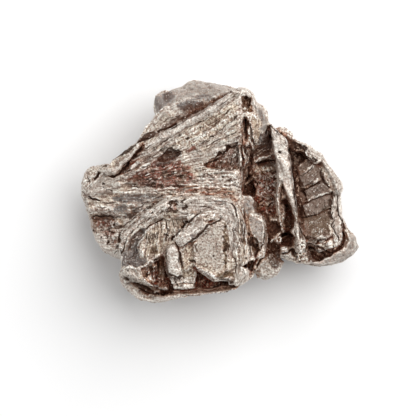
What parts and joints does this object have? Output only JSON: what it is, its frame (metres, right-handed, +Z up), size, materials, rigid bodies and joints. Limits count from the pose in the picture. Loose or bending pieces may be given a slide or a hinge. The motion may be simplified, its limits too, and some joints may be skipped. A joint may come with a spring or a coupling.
{
  "type": "iron meteorite",
  "caption": "Irregular iron meteorite fragment that broke along its crystal plates, with a large striated face, ribs, ledges and rusty hollows, lying on its flat underside.",
  "frame": {"origin": "under the middle of the stone's box, on the surface it rests on", "axes": "+X along the stone's longest way, towards the framed block with the rib beside it; +Y towards the smooth lump at the back; +Z up, out of the large striated face"},
  "size_m": [0.0556, 0.0446, 0.0255],
  "materials": {
    "meteorite_iron": "weathered nickel-iron: pale grey-beige raised plates with fine striae, slate-grey patches, red-brown rust in the hollows, dull to satin"
  },
  "bodies": {
    "root": {"meteorite": "meteorite_iron"}
  },
  "joints": []
}
